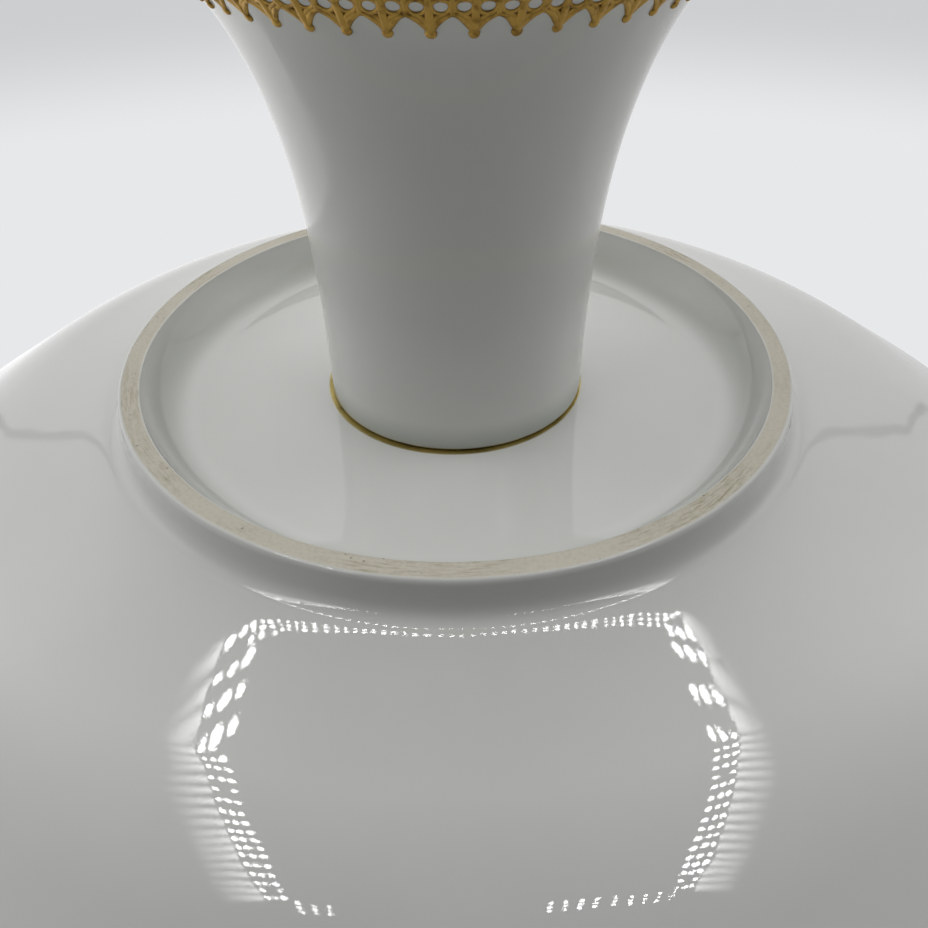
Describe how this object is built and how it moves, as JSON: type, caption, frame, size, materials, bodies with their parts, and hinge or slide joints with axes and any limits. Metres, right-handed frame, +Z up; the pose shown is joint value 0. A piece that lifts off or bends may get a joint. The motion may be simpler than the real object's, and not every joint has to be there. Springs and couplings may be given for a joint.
{
  "type": "footed fruit bowl",
  "caption": "Shallow round porcelain fruit bowl on a hollow trumpet pedestal, clamped together by a screw through the middle.",
  "frame": {"origin": "centre of the pedestal's foot on the table", "axes": "+Z up along the pedestal, out of the open bowl; X and Y are alike, because the form is round"},
  "size_m": [0.2534, 0.2534, 0.1136],
  "materials": {
    "porcelain": "clear gloss glaze over white porcelain, gilded lines and lace",
    "brass": "polished",
    "steel": "zinc plated",
    "soft_washer": "matt"
  },
  "bodies": {
    "root": {"bowl": "porcelain", "pedestal": "porcelain", "joint_washer": "soft_washer", "rosette_pad": "soft_washer", "rosette": "brass", "bolt": "brass", "inner_pad": "soft_washer", "clamp_washer": "steel", "spring_washer": "steel", "nut": "steel"}
  },
  "joints": []
}
